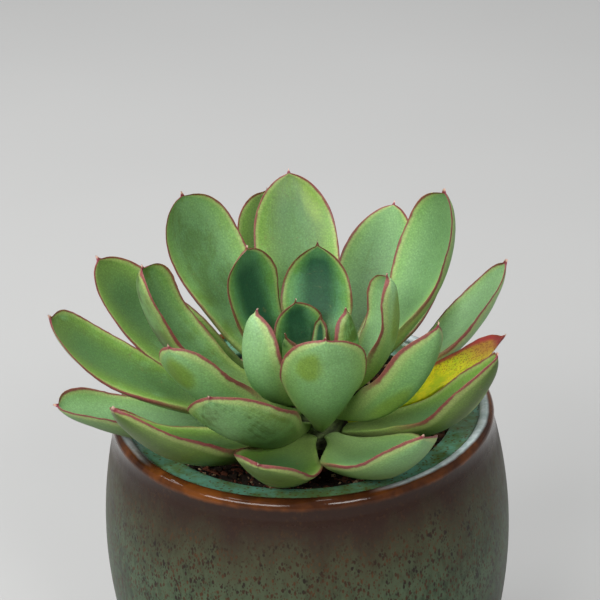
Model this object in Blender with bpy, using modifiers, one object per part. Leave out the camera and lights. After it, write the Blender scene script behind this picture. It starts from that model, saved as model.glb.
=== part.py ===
"""Potted echeveria: a rosette of 28 fleshy leaves on a short stem, in a round glazed stoneware pot.

Blender 4.5, metres, +Z up. The origin is the centre of the pot's flat foot, and the photograph looks
along +Y from above.
"""
import math
import random

import bmesh
import bpy
from mathutils import Vector

# Pot: a barrel with a rounded lip and a glazed shelf inside the lip
FOOT_RADIUS = 0.0360
FOOT_CHAMFER = 0.0008
BELLY_RADIUS = 0.0486
BELLY_HEIGHT = 0.0530
NECK_RADIUS = 0.0447
NECK_HEIGHT = 0.0830
LIP_RADIUS = 0.0450
LIP_CREST_RADIUS = 0.0432
LIP_INNER_RADIUS = 0.0415
LIP_SHOULDER_HEIGHT = 0.0842
POT_HEIGHT = 0.0860
SHELF_OUTER_HEIGHT = 0.0848
SHELF_INNER_HEIGHT = 0.0841
MOUTH_RADIUS = 0.0351
MOUTH_DEPTH = 0.0070
MOUTH_BEVEL = 0.0007
WALL = 0.0050
FLOOR = 0.0060
POT_STEPS = 48

# Growing mix: fills the pot, banked up against the wall
CLEARANCE = 0.00035
MIX_LOW = 0.0794
MIX_EDGE = 0.0829
LUMP_HEIGHT = 0.0004
MIX_SEGMENTS = 36
MIX_TOP_SHARES = (0.12, 0.26, 0.40, 0.54, 0.68, 0.80, 0.91)

# Stem: stands in a plain hole, a little right of the pot's middle and nearer the viewer
STEM_X = 0.0034
STEM_Y = -0.0040
STEM_RADIUS = 0.0062
STEM_FOOT = 0.0660
STEM_FOOT_BEVEL = 0.0010
STEM_SHOULDER = 0.0815
STEM_TOP = 0.0970
STEM_TIP_RADIUS = 0.0020
STEM_TIP_HEIGHT = 0.0952
LEAF_SEAT_GAP = 0.0009
STEM_STEPS = 24

# Leaves: height on the stem and distance of the leaf's foot from the stem's axis, lowest level first
LEVELS = (
    (0.0836, 0.0069),
    (0.0860, 0.0064),
    (0.0884, 0.0058),
    (0.0912, 0.0051),
    (0.0944, 0.0052),
    (0.0951, 0.0033),
    (0.0960, 0.0027),
)
LEAF_FOOT_WIDTH = 0.0036
LEAF_THICKNESS = 0.0042
CUP_BALANCE = 0.35
UPPER_SIDE = 0.22
UNDERSIDE = 0.78
EDGE_THINNING = 0.28
LEAF_BEND = 1.6
POINT_LENGTH = 0.0013
POINT_WIDTH = 0.0010
WAVE_HEIGHT = 0.0004
WAVES_PER_LEAF = 2.5
CUP_START = 0.25
WAVE_START = 0.4
LEAF_SIDES = 12
LEAF_RINGS = (0.012, 0.07, 0.17, 0.29, 0.41, 0.53, 0.65, 0.76, 0.86, 0.935, 0.968)
MIDRIB_STEPS = 120

# Each leaf: name, level, heading (0 = right, 90 = back), rise at the foot, extra rise at the tip,
# length, width, roll about its length, sideways bend and where along it is widest, then how narrow
# its waist is (1 = hardly), how pointed its end is and how deeply it is cupped.
LEAVES = (
    ("leaf_left_lowest", 0, 194, 8, 20, 0.0573, 0.0189, 4, 0, 0.74, 1.5, 0.44, 0.44),
    ("leaf_front_left_lowest", 0, 222, 10, 46, 0.0611, 0.0187, 3, 0, 0.66, 1.6, 0.57, 0.38),
    ("leaf_front_lowest", 0, 254, 6, 40, 0.0467, 0.0184, -10, 0, 0.64, 1.8, 0.41, 0.35),
    ("leaf_front_right_lowest", 0, 292, 9, 46, 0.0572, 0.0230, 3, 1, 0.45, 1.9, 0.74, 0.26),
    ("leaf_right_front_lowest", 0, 325, 17, 51, 0.0539, 0.0167, 10, -2, 0.73, 2.0, 0.68, 0.49),
    ("leaf_right_yellowed", 0, 353, 26, 14, 0.0439, 0.0138, 1, 5, 0.68, 1.6, 0.74, 0.17),
    ("leaf_back_right_low", 0, 66, 32, 14, 0.0580, 0.0183, 3, 0, 0.64, 1.6, 0.60, 0.30),
    ("leaf_back_low", 0, 101, 35, 11, 0.0605, 0.0206, 2, 0, 0.71, 1.8, 0.45, 0.30),
    ("leaf_left_low", 1, 194, 18, 38, 0.0661, 0.0172, -19, -2, 0.80, 1.9, 0.49, 0.21),
    ("leaf_back_left_low", 1, 158, 18, 43, 0.0605, 0.0213, -10, 0, 0.64, 1.6, 0.54, 0.27),
    ("leaf_right_low", 1, 19, 18, 47, 0.0537, 0.0159, -9, -2, 0.73, 1.9, 0.66, 0.34),
    ("leaf_front_left_low", 1, 243, 22, 31, 0.0528, 0.0221, 15, -3, 0.65, 1.8, 0.81, 0.31),
    ("leaf_front_upright", 1, 274, 49, 23, 0.0402, 0.0195, 1, 1, 0.68, 1.5, 0.52, 0.33),
    ("leaf_back_right_short", 2, 41, 31, 10, 0.0430, 0.0150, 7, 0, 0.66, 1.8, 0.60, 0.30),
    ("leaf_front_left_raised", 2, 220, 24, 42, 0.0489, 0.0156, 21, 0, 0.70, 1.8, 0.56, 0.38),
    ("leaf_left_raised", 2, 177, 24, 62, 0.0519, 0.0170, -4, -3, 0.82, 2.1, 0.37, 0.61),
    ("leaf_front_right_raised", 2, 312, 29, 44, 0.0487, 0.0123, -12, 4, 0.68, 1.4, 0.77, 0.60),
    ("leaf_back_left_tall", 2, 138, 37, 38, 0.0572, 0.0225, -2, 1, 0.78, 1.3, 0.49, 0.30),
    ("leaf_back_tallest", 3, 97, 42, 18, 0.0540, 0.0202, -5, -1, 0.64, 1.5, 0.60, 0.30),
    ("leaf_right_tall", 3, 20, 39, 51, 0.0556, 0.0204, 4, 0, 0.77, 2.2, 0.56, 0.45),
    ("leaf_inner_front_left", 3, 221, 42, 66, 0.0324, 0.0143, -15, 0, 0.63, 1.7, 0.58, 0.63),
    ("leaf_inner_right", 3, 345, 52, 46, 0.0354, 0.0152, 20, 3, 0.79, 1.9, 0.39, 0.54),
    ("leaf_inner_back_left", 3, 153, 55, 44, 0.0381, 0.0171, -13, 0, 0.72, 2.0, 0.49, 0.22),
    ("leaf_inner_back", 4, 84, 66, 17, 0.0310, 0.0171, -6, -1, 0.56, 1.5, 0.68, 0.36),
    ("leaf_inner_front_right", 4, 323, 72, 22, 0.0219, 0.0098, 9, 2, 0.61, 1.5, 0.65, 0.35),
    ("leaf_heart_back_left", 5, 136, 73, 26, 0.0194, 0.0147, -13, 0, 0.52, 1.6, 0.60, 0.15),
    ("leaf_heart_right", 6, 61, 87, 5, 0.0145, 0.0041, -5, 0, 0.63, 1.4, 0.60, 0.29),
    ("leaf_heart_front_left", 6, 215, 62, 14, 0.0150, 0.0055, 0, 0, 0.62, 1.4, 0.70, 0.30),
)
WITHERED_LEAF = "leaf_right_yellowed"
WITHERED_THICKNESS = 0.0030


def clear_scene():
    """Remove whatever the file opened with."""
    for obj in list(bpy.data.objects):
        bpy.data.objects.remove(obj, do_unlink=True)


def material(name, colour, roughness):
    """One plain material with the part's colour."""
    made = bpy.data.materials.new(name)
    made.use_nodes = True
    shader = made.node_tree.nodes["Principled BSDF"]
    shader.inputs["Base Color"].default_value = (*colour, 1.0)
    shader.inputs["Roughness"].default_value = roughness
    shader.inputs["Metallic"].default_value = 0.0
    return made


def smooth(share):
    """Ease from 0 to 1."""
    share = min(max(share, 0.0), 1.0)
    return share * share * (3.0 - 2.0 * share)


def add_object(name, mesh, finish, collection, parent):
    """Put a mesh in the collection under the empty, with its material."""
    obj = bpy.data.objects.new(name, mesh)
    mesh.materials.append(finish)
    collection.objects.link(obj)
    obj.parent = parent
    return obj


def turn(name, profile, steps, finish, collection, parent):
    """A profile of (radius, height) turned about +Z; it runs down its outer side."""
    mesh = bpy.data.meshes.new(name)
    points = [(radius, 0.0, height) for radius, height in profile]
    mesh.from_pydata(points, [(i, i + 1) for i in range(len(points) - 1)], [])
    obj = add_object(name, mesh, finish, collection, parent)
    screw = obj.modifiers.new("turn", "SCREW")
    screw.steps = steps
    screw.render_steps = steps
    screw.use_merge_vertices = True
    screw.merge_threshold = 0.00001
    screw.use_smooth_shade = True
    return obj


def sphere_rings(segments, ring_count):
    """A sphere whose rings will be moved, and its vertices as (ring, angle); poles are -1 and ring_count."""
    shape = bmesh.new()
    bmesh.ops.create_uvsphere(shape, u_segments=segments, v_segments=ring_count + 1, radius=1.0)
    places = []
    for vertex in shape.verts:
        down = math.acos(max(-1.0, min(1.0, vertex.co.z))) / math.pi
        ring = round(down * (ring_count + 1)) - 1
        places.append((vertex, ring, math.atan2(vertex.co.y, vertex.co.x)))
    return shape, places


def finish_mesh(name, shape):
    """Turn the bmesh into a smooth-shaded mesh."""
    mesh = bpy.data.meshes.new(name)
    shape.to_mesh(mesh)
    shape.free()
    mesh.shade_smooth()
    return mesh


def wall_radius(height):
    """Outside radius of the pot's body."""
    if height < BELLY_HEIGHT:
        share = (BELLY_HEIGHT - height) / BELLY_HEIGHT
        return BELLY_RADIUS - (BELLY_RADIUS - FOOT_RADIUS) * share ** 2
    share = (height - BELLY_HEIGHT) / (NECK_HEIGHT - BELLY_HEIGHT)
    return BELLY_RADIUS - (BELLY_RADIUS - NECK_RADIUS) * share ** 2


def cavity_profile():
    """Inside of the pot from the floor's middle up to the mouth, as (radius, height)."""
    points = [(0.0, FLOOR), (FOOT_RADIUS - 2 * WALL, FLOOR)]
    for height in (0.012, 0.022, 0.034, 0.046, 0.058, 0.069):
        points.append((wall_radius(height) - WALL, height))
    points.append((MOUTH_RADIUS, SHELF_INNER_HEIGHT - MOUTH_DEPTH))
    points.append((MOUTH_RADIUS, SHELF_INNER_HEIGHT - MOUTH_BEVEL))
    return points


def lip_profile():
    """Over the lip, from the shelf's outer edge to the shoulder outside."""
    points = []
    for step in range(5):
        angle = math.radians(180.0 - 22.5 * step)
        radius = LIP_CREST_RADIUS + (LIP_CREST_RADIUS - LIP_INNER_RADIUS) * math.cos(angle)
        height = SHELF_OUTER_HEIGHT + (POT_HEIGHT - SHELF_OUTER_HEIGHT) * math.sin(angle)
        points.append((radius, height))
    for step in range(1, 5):
        angle = math.radians(90.0 - 22.5 * step)
        radius = LIP_CREST_RADIUS + (LIP_RADIUS - LIP_CREST_RADIUS) * math.cos(angle)
        height = LIP_SHOULDER_HEIGHT + (POT_HEIGHT - LIP_SHOULDER_HEIGHT) * math.sin(angle)
        points.append((radius, height))
    return points


def make_pot(finish, collection, parent):
    """Barrel body, lip, shelf and hollow inside, turned as one piece."""
    profile = cavity_profile()
    profile.append((MOUTH_RADIUS + MOUTH_BEVEL, SHELF_INNER_HEIGHT))
    profile += lip_profile()
    for height in (NECK_HEIGHT, 0.077, 0.070, 0.0615, BELLY_HEIGHT, 0.044, 0.034, 0.023, 0.012):
        profile.append((wall_radius(height), height))
    profile.append((wall_radius(FOOT_CHAMFER), FOOT_CHAMFER))
    profile.append((FOOT_RADIUS - FOOT_CHAMFER, 0.0))
    profile.append((0.0, 0.0))
    return turn("pot", profile, POT_STEPS, finish, collection, parent)


def make_mix(finish, collection, parent):
    """Soil and bark: a lumpy top with a plain hole for the stem, and sides that follow the pot."""
    draw = random.Random(11)
    hole_radius = STEM_RADIUS + CLEARANCE
    hole_floor = STEM_FOOT - CLEARANCE
    edge_radius = MOUTH_RADIUS - CLEARANCE
    stem_axis = Vector((STEM_X, STEM_Y, 0.0))
    # Rings from the hole's floor outwards: share of the way to the wall, radius, height, lump height
    rings = [(0.0, hole_radius, hole_floor, 0.0), (0.0, hole_radius, MIX_LOW, 0.0)]
    for share in MIX_TOP_SHARES:
        banked = max(0.0, (share - 0.3) / 0.7) ** 3
        radius = hole_radius + (edge_radius - hole_radius) * share
        rings.append((share, radius, MIX_LOW + (MIX_EDGE - MIX_LOW) * banked, LUMP_HEIGHT))
    rings.append((1.0, edge_radius, MIX_EDGE, 0.0))
    for radius, height in reversed(cavity_profile()[1:-1]):
        rings.append((1.0, radius - CLEARANCE, max(height, FLOOR + CLEARANCE), 0.0))
    shape, places = sphere_rings(MIX_SEGMENTS, len(rings))
    for vertex, ring, angle in places:
        if ring < 0:
            vertex.co = stem_axis + Vector((0.0, 0.0, hole_floor))
        elif ring >= len(rings):
            vertex.co = Vector((0.0, 0.0, FLOOR + CLEARANCE))
        else:
            share, radius, height, lump = rings[ring]
            centre = stem_axis * (1.0 - share)
            out = Vector((math.cos(angle), math.sin(angle), 0.0))
            vertex.co = centre + out * radius + Vector((0.0, 0.0, height + draw.uniform(-lump, lump)))
    return add_object("growing_mix", finish_mesh("growing_mix", shape), finish, collection, parent)


def make_stem(finish, collection, parent):
    """Short thick stem that tapers to a blunt top under the heart."""
    profile = [(0.0, STEM_TOP), (0.0013, STEM_TOP - 0.0001), (0.0019, STEM_TOP - 0.0007)]
    profile.append((STEM_TIP_RADIUS, STEM_TIP_HEIGHT))
    for height, reach in reversed(LEVELS[:5]):
        profile.append((reach - LEAF_SEAT_GAP, height))
    profile += [(STEM_RADIUS, STEM_SHOULDER), (STEM_RADIUS, STEM_FOOT + STEM_FOOT_BEVEL)]
    profile += [(STEM_RADIUS - STEM_FOOT_BEVEL, STEM_FOOT), (0.0, STEM_FOOT)]
    stem = turn("stem", profile, STEM_STEPS, finish, collection, parent)
    stem.location = (STEM_X, STEM_Y, 0.0)
    return stem


def leaf_half_width(along, leaf):
    """Half width of the blade as a share of its largest: narrow foot, widest past the middle, round end."""
    widest = leaf["widest"]
    if along <= widest:
        return leaf["foot"] + (1.0 - leaf["foot"]) * math.sin(0.5 * math.pi * along / widest) ** leaf["waist"]
    past = min(1.0, (along - widest) / (1.0 - widest))
    return max(0.0, 1.0 - past ** 2.3) ** leaf["end"]


def leaf_thickness(along):
    """Thickness as a share of its nominal value: fleshy from the foot on, thin at the end."""
    swell = 0.62 * math.sin(math.pi * min(1.0, (along / 0.85) ** 0.8))
    return (0.56 + swell - 0.10 * along) * max(0.0, 1.0 - along ** 6) ** 0.5


def midrib(leaf, shares):
    """Points of the leaf's middle line at the given shares of its length, and the last one at its tip."""
    points = []
    place = Vector((0.0, 0.0, 0.0))
    done = 0
    for share in (*shares, 1.0):
        while done < round(share * MIDRIB_STEPS):
            along = (done + 0.5) / MIDRIB_STEPS
            rise = leaf["rise"] + leaf["curl"] * along ** LEAF_BEND
            heading = leaf["side"] * along
            level = math.cos(rise)
            step = Vector((level * math.cos(heading), level * math.sin(heading), math.sin(rise)))
            place = place + step * (leaf["length"] / MIDRIB_STEPS)
            done += 1
        points.append(place.copy())
    return points


def leaf_point(leaf, centre, along, angle):
    """One point of the leaf's skin at a share of its length and an angle round it."""
    rise = leaf["rise"] + leaf["curl"] * along ** LEAF_BEND
    heading = leaf["side"] * along
    ahead = Vector((math.cos(heading), math.sin(heading), 0.0))
    across = Vector((math.sin(heading), -math.cos(heading), 0.0))
    up = Vector((0.0, 0.0, math.cos(rise))) - ahead * math.sin(rise)
    upper = up * math.cos(leaf["roll"]) + across * math.sin(leaf["roll"])
    right = across * math.cos(leaf["roll"]) - up * math.sin(leaf["roll"])
    blade_end = 1.0 - POINT_LENGTH / leaf["length"]
    blade = min(1.0, along / blade_end)
    point = 0.5 * POINT_WIDTH * min(1.0, (1.0 - along) / (1.0 - blade_end))
    half = 0.5 * leaf["width"] * leaf_half_width(blade, leaf)
    half = max(half, point)
    thick = max(leaf["thickness"] * leaf_thickness(blade), 0.7 * point)
    side = math.cos(angle)
    face = math.sin(angle)
    height = leaf["cup"] * smooth(along / CUP_START) * half * (side * side - CUP_BALANCE)
    if face > 0.0:
        height += UPPER_SIDE * thick * face
    else:
        height += UNDERSIDE * thick * face * (1.0 - EDGE_THINNING * abs(side))
    phase = leaf["phase"] if side > 0.0 else leaf["phase"] + 2.0
    wave = math.sin(2.0 * math.pi * WAVES_PER_LEAF * along + phase)
    height += WAVE_HEIGHT * wave * smooth(along / WAVE_START) * abs(side) ** 3
    return centre + right * half * side + upper * height


def make_leaf(leaf, finish, collection, parent):
    """One leaf as a closed solid: a sphere drawn out along the midrib, cupped, with a short point."""
    shape, places = sphere_rings(LEAF_SIDES, len(LEAF_RINGS))
    centres = midrib(leaf, LEAF_RINGS)
    for vertex, ring, angle in places:
        if ring < 0:
            vertex.co = (0.0, 0.0, 0.0)
        elif ring >= len(LEAF_RINGS):
            vertex.co = centres[-1]
        else:
            vertex.co = leaf_point(leaf, centres[ring], LEAF_RINGS[ring], angle)
    obj = add_object(leaf["name"], finish_mesh(leaf["name"], shape), finish, collection, parent)
    obj.location = leaf["place"]
    obj.rotation_euler = (0.0, 0.0, leaf["turned"])
    return obj


def leaf_settings():
    """The table above as one dictionary for each leaf, with angles in radians."""
    settings = []
    for number, row in enumerate(LEAVES):
        name, level, heading, rise, curl, length, width, roll, side, widest, waist, end, cup = row
        height, reach = LEVELS[level]
        turned = math.radians(heading)
        settings.append({
            "name": name,
            "turned": turned,
            "place": (STEM_X + reach * math.cos(turned), STEM_Y + reach * math.sin(turned), height),
            "rise": math.radians(rise),
            "curl": math.radians(curl),
            "length": length,
            "width": width,
            "roll": math.radians(roll),
            "side": math.radians(side),
            "widest": widest,
            "foot": LEAF_FOOT_WIDTH / width,
            "waist": waist,
            "end": end,
            "cup": cup,
            "thickness": WITHERED_THICKNESS if name == WITHERED_LEAF else LEAF_THICKNESS,
            "phase": 2.1 * number,
        })
    return settings


def main():
    clear_scene()
    collection = bpy.data.collections.new("potted_echeveria")
    bpy.context.scene.collection.children.link(collection)
    root = bpy.data.objects.new("potted_echeveria", None)
    collection.objects.link(root)

    glaze = material("glaze", (0.10, 0.13, 0.09), 0.30)
    mix = material("growing_mix", (0.035, 0.022, 0.014), 0.95)
    bark = material("stem", (0.20, 0.16, 0.08), 0.80)
    flesh = material("leaf", (0.17, 0.33, 0.13), 0.50)
    young = material("young_leaf", (0.06, 0.20, 0.12), 0.50)
    withered = material("withered_leaf", (0.55, 0.45, 0.03), 0.60)

    make_pot(glaze, collection, root)
    make_mix(mix, collection, root)
    make_stem(bark, collection, root)
    for leaf in leaf_settings():
        if leaf["name"] == WITHERED_LEAF:
            finish = withered
        elif "inner_back" in leaf["name"] or "heart" in leaf["name"]:
            finish = young
        else:
            finish = flesh
        make_leaf(leaf, finish, collection, root)


main()
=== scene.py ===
"""Looks of the potted echeveria: fleshy red-edged leaves, a short stem, potting mix and a glazed pot."""
import math

import bmesh
import bpy
from mathutils import Matrix, Vector, noise as hand_noise


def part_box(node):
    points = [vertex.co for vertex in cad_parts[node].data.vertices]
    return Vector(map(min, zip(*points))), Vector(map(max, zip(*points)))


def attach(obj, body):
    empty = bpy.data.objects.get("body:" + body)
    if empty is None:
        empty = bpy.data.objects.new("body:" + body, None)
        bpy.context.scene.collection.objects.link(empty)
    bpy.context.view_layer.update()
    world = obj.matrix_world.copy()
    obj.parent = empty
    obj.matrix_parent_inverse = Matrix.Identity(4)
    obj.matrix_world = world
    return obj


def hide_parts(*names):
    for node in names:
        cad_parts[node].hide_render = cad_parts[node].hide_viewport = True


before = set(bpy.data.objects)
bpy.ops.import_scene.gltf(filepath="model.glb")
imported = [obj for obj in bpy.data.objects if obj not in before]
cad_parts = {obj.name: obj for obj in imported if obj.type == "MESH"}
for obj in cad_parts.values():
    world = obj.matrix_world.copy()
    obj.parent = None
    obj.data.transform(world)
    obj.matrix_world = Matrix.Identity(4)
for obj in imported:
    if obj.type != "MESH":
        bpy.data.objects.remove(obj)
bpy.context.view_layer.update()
BODY = "root"

# Pot, in metres: its height and its belly's radius come from the frame, the rest is the potter's outline
POT_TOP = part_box("pot")[1].z
FOOT_RADIUS = 0.0360
FOOT_CHAMFER = 0.0008
BELLY_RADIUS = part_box("pot")[1].x
BELLY_HEIGHT = 0.0530
NECK_RADIUS = 0.0447
NECK_HEIGHT = 0.0830
LIP_RADIUS = 0.0450
LIP_CREST_RADIUS = 0.0432
LIP_INNER_RADIUS = 0.0415
LIP_SHOULDER_HEIGHT = 0.0842
SHELF_OUTER_HEIGHT = 0.0848
SHELF_INNER_HEIGHT = 0.0841
MOUTH_RADIUS = 0.0351
MOUTH_DEPTH = 0.0070
MOUTH_BEVEL = 0.0007
WALL = 0.0050
FLOOR = 0.0060
POT_STEPS = 192
INSIDE_STEPS = 10
SHELF_STEPS = 8
BEVEL_STEPS = 4
LIP_STEPS = 8
BODY_STEPS = 48
SEAM_DISTANCE = 0.00001
POLE_RADIUS = 0.01
THROWING_UNEVENNESS = 0.00018
THROWING_SCALE = 38.0

# Potting mix: crumbs and bark chips on the block of mix, sizes in metres and numbers per square metre
MIX_TOP_LEVEL = 0.0785
MIX_CUTS = 3
MIX_ROUGHNESS = 0.0005
MIX_GRAIN = 260.0
CRUMB_SIZE = 0.0009
CRUMBS_PER_AREA = 1200000.0
CHIP_SIZE = 0.0021
CHIPS_PER_AREA = 85000.0
MIX_SEED = 5
# How far up a face looks before it is roughened, and before crumbs lie on it (1 = straight up)
MIX_UPWARD = 0.5
CRUMB_UPWARD = 0.55
# Smallest and largest crumb, as shares of the full size along its length, breadth and height
SMALLEST_CRUMB = (0.35, 0.3, 0.2)
LARGEST_CRUMB = (1.0, 0.75, 0.45)
# What is strewn: kind, how finely its ball is cut, how far it tilts, and what is added to the seed
STREWN = (("Crumb", 1, 0.8, 0.0), ("Chip", 2, 0.35, 10.0))
RUGGED_SCALE = 1.7
RUGGED_LEAST = 0.35
RUGGED_MORE = 1.3

# Stem and the levels on it where the leaves sit: height, distance of the leaf's foot from the stem's axis
STEM_X = 0.0034
STEM_Y = -0.0040
LEVELS = (
    (0.0836, 0.0069),
    (0.0860, 0.0064),
    (0.0884, 0.0058),
    (0.0912, 0.0051),
    (0.0944, 0.0052),
    (0.0951, 0.0033),
    (0.0960, 0.0027),
)

# Each leaf: node, level, heading (0 = right, 90 = back), rise at the foot, extra rise at the tip,
# length, width, roll about its length, sideways bend and where along it is widest, then how narrow
# its waist is (1 = hardly), how pointed its end is and how deeply it is cupped.
LEAVES = (
    ("leaf_left_lowest", 0, 194, 8, 20, 0.0573, 0.0189, 4, 0, 0.74, 1.5, 0.44, 0.44),
    ("leaf_front_left_lowest", 0, 222, 10, 46, 0.0611, 0.0187, 3, 0, 0.66, 1.6, 0.57, 0.38),
    ("leaf_front_lowest", 0, 254, 6, 40, 0.0467, 0.0184, -10, 0, 0.64, 1.8, 0.41, 0.35),
    ("leaf_front_right_lowest", 0, 292, 9, 46, 0.0572, 0.0230, 3, 1, 0.45, 1.9, 0.74, 0.26),
    ("leaf_right_front_lowest", 0, 325, 17, 51, 0.0539, 0.0167, 10, -2, 0.73, 2.0, 0.68, 0.49),
    ("leaf_right_yellowed", 0, 353, 26, 14, 0.0439, 0.0138, 1, 5, 0.68, 1.6, 0.74, 0.17),
    ("leaf_back_right_low", 0, 66, 32, 14, 0.0580, 0.0183, 3, 0, 0.64, 1.6, 0.60, 0.30),
    ("leaf_back_low", 0, 101, 35, 11, 0.0605, 0.0206, 2, 0, 0.71, 1.8, 0.45, 0.30),
    ("leaf_left_low", 1, 194, 18, 38, 0.0661, 0.0172, -19, -2, 0.80, 1.9, 0.49, 0.21),
    ("leaf_back_left_low", 1, 158, 18, 43, 0.0605, 0.0213, -10, 0, 0.64, 1.6, 0.54, 0.27),
    ("leaf_right_low", 1, 19, 18, 47, 0.0537, 0.0159, -9, -2, 0.73, 1.9, 0.66, 0.34),
    ("leaf_front_left_low", 1, 243, 22, 31, 0.0528, 0.0221, 15, -3, 0.65, 1.8, 0.81, 0.31),
    ("leaf_front_upright", 1, 274, 49, 23, 0.0402, 0.0195, 1, 1, 0.68, 1.5, 0.52, 0.33),
    ("leaf_back_right_short", 2, 41, 31, 10, 0.0430, 0.0150, 7, 0, 0.66, 1.8, 0.60, 0.30),
    ("leaf_front_left_raised", 2, 220, 24, 42, 0.0489, 0.0156, 21, 0, 0.70, 1.8, 0.56, 0.38),
    ("leaf_left_raised", 2, 177, 24, 62, 0.0519, 0.0170, -4, -3, 0.82, 2.1, 0.37, 0.61),
    ("leaf_front_right_raised", 2, 312, 29, 44, 0.0487, 0.0123, -12, 4, 0.68, 1.4, 0.77, 0.60),
    ("leaf_back_left_tall", 2, 138, 37, 38, 0.0572, 0.0225, -2, 1, 0.78, 1.3, 0.49, 0.30),
    ("leaf_back_tallest", 3, 97, 42, 18, 0.0540, 0.0202, -5, -1, 0.64, 1.5, 0.60, 0.30),
    ("leaf_right_tall", 3, 20, 39, 51, 0.0556, 0.0204, 4, 0, 0.77, 2.2, 0.56, 0.45),
    ("leaf_inner_front_left", 3, 221, 42, 66, 0.0324, 0.0143, -15, 0, 0.63, 1.7, 0.58, 0.63),
    ("leaf_inner_right", 3, 345, 52, 46, 0.0354, 0.0152, 20, 3, 0.79, 1.9, 0.39, 0.54),
    ("leaf_inner_back_left", 3, 153, 55, 44, 0.0381, 0.0171, -13, 0, 0.72, 2.0, 0.49, 0.22),
    ("leaf_inner_back", 4, 84, 66, 17, 0.0310, 0.0171, -6, -1, 0.56, 1.5, 0.68, 0.36),
    ("leaf_inner_front_right", 4, 323, 72, 22, 0.0219, 0.0098, 9, 2, 0.61, 1.5, 0.65, 0.35),
    ("leaf_heart_back_left", 5, 136, 73, 26, 0.0194, 0.0147, -13, 0, 0.52, 1.6, 0.60, 0.15),
    ("leaf_heart_right", 6, 61, 87, 5, 0.0145, 0.0041, -5, 0, 0.63, 1.4, 0.60, 0.29),
    ("leaf_heart_front_left", 6, 215, 62, 14, 0.0150, 0.0055, 0, 0, 0.62, 1.4, 0.70, 0.30),
)
# The rule that all leaves follow: metres, and shares of a leaf's length, width or thickness
LEAF_FOOT_WIDTH = 0.0036
LEAF_THICKNESS = 0.0042
CUP_BALANCE = 0.35
CUP_START = 0.25
UPPER_SIDE = 0.22
UNDERSIDE = 0.78
EDGE_THINNING = 0.28
END_ROUNDNESS = 2.3
FOOT_THICKNESS = 0.56
SWELL_SHARE = 0.62
SWELL_REACH = 0.85
SWELL_LEAN = 0.8
TAPER_SHARE = 0.10
END_THINNING = 6.0
LEAF_BEND = 1.6
POINT_LENGTH = 0.0013
POINT_WIDTH = 0.0010
POINT_THICKNESS = 1.2
WAVE_HEIGHT = 0.0004
WAVE_START = 0.4
WAVES_PER_LEAF = 2.5
YELLOWED_LEAF = "leaf_right_yellowed"
YELLOWED_THICKNESS = 0.0030
YOUNG_LEAVES = ("leaf_inner_back_left", "leaf_inner_back", "leaf_heart_back_left",
                "leaf_heart_right", "leaf_heart_front_left")
# The finer blade: rings along it, sides around it, crinkles and swells of its skin
BLADE_INSET = 0.0004
LEAF_RINGS = 84
LEAF_SIDES = 44
TIP_CROWDING = 1.35
FOOT_ROUNDING = 0.02
CRINKLE_HEIGHT = 0.00022
CRINKLES_PER_METRE = 420.0
SWELL_HEIGHT = 0.00022
SWELLS_PER_METRE = 85.0
SWAY_SHARE = 0.06
SWAYS_PER_METRE = 130.0
SLOPE_STEP = 0.01
LEAF_SEAM_DISTANCE = 0.000002
PHASE_STEP = 2.1

# Where the bloom is rubbed off in one spot: its place along and across, its share of the length and
# of the width, and the face that shows it (1 = upper, -1 = under)
LEAF_PATCHES = {
    "leaf_front_upright": (0.80, 0.42, 0.12, 0.36, -1.0),
    "leaf_front_left_raised": (0.84, 0.05, 0.12, 0.60, -1.0),
    "leaf_back_tallest": (0.84, 0.60, 0.11, 0.26, 1.0),
    "leaf_front_right_raised": (0.45, 0.30, 0.22, 0.35, -1.0),
    "leaf_right_front_lowest": (0.72, -0.10, 0.14, 0.40, -1.0),
    "leaf_inner_right": (0.72, 0.35, 0.20, 0.45, -1.0),
}
NO_PATCH = (0.5, 0.0, 0.001, 0.001, 1.0)
PATCH_FADE = (0.55, 1.10)
# How much waxy bloom a leaf still has, where it isn't the usual share
USUAL_BLOOM = 0.5
LEAF_BLOOM = {
    "leaf_right_tall": 0.8,
    "leaf_right_low": 1.0,
    "leaf_inner_right": 1.0,
    "leaf_inner_front_left": 1.0,
    "leaf_front_upright": 0.85,
    "leaf_front_left_raised": 0.85,
    "leaf_front_right_raised": 0.75,
    "leaf_left_lowest": 0.85,
    "leaf_back_right_low": 0.7,
    "leaf_back_right_short": 0.3,
    "leaf_back_left_tall": 0.55,
    "leaf_back_left_low": 0.3,
    "leaf_left_raised": 0.45,
    "leaf_left_low": 0.35,
    "leaf_back_low": 0.2,
    "leaf_back_tallest": 0.3,
    "leaf_front_left_low": 0.55,
    "leaf_front_left_lowest": 0.2,
    "leaf_front_lowest": 0.15,
    "leaf_front_right_lowest": 0.85,
    "leaf_right_front_lowest": 0.15,
}

# Leaf colours: thick bloom, thin bloom, rubbed clean, along the middle channel (partly deeper green, partly
# painted shade in the hollow), clean underside, margins
MATURE_FROSTED = (0.218, 0.385, 0.170, 1.0)
MATURE_WAXY = (0.150, 0.296, 0.104, 1.0)
MATURE_CLEAR = (0.115, 0.205, 0.040, 1.0)
MATURE_DEEP_AND_SHADED = (0.058, 0.146, 0.056, 1.0)
MATURE_UNDER = (0.060, 0.108, 0.014, 1.0)
YOUNG_FROSTED = (0.170, 0.350, 0.180, 1.0)
YOUNG_WAXY = (0.100, 0.270, 0.115, 1.0)
YOUNG_CLEAR = (0.075, 0.210, 0.050, 1.0)
YOUNG_DEEP_AND_SHADED = (0.014, 0.070, 0.030, 1.0)
YOUNG_UNDER = (0.170, 0.300, 0.080, 1.0)
CRIMSON_MARGIN = (0.175, 0.016, 0.036, 1.0)
RED_BROWN_MARGIN = (0.130, 0.020, 0.022, 1.0)
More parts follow.
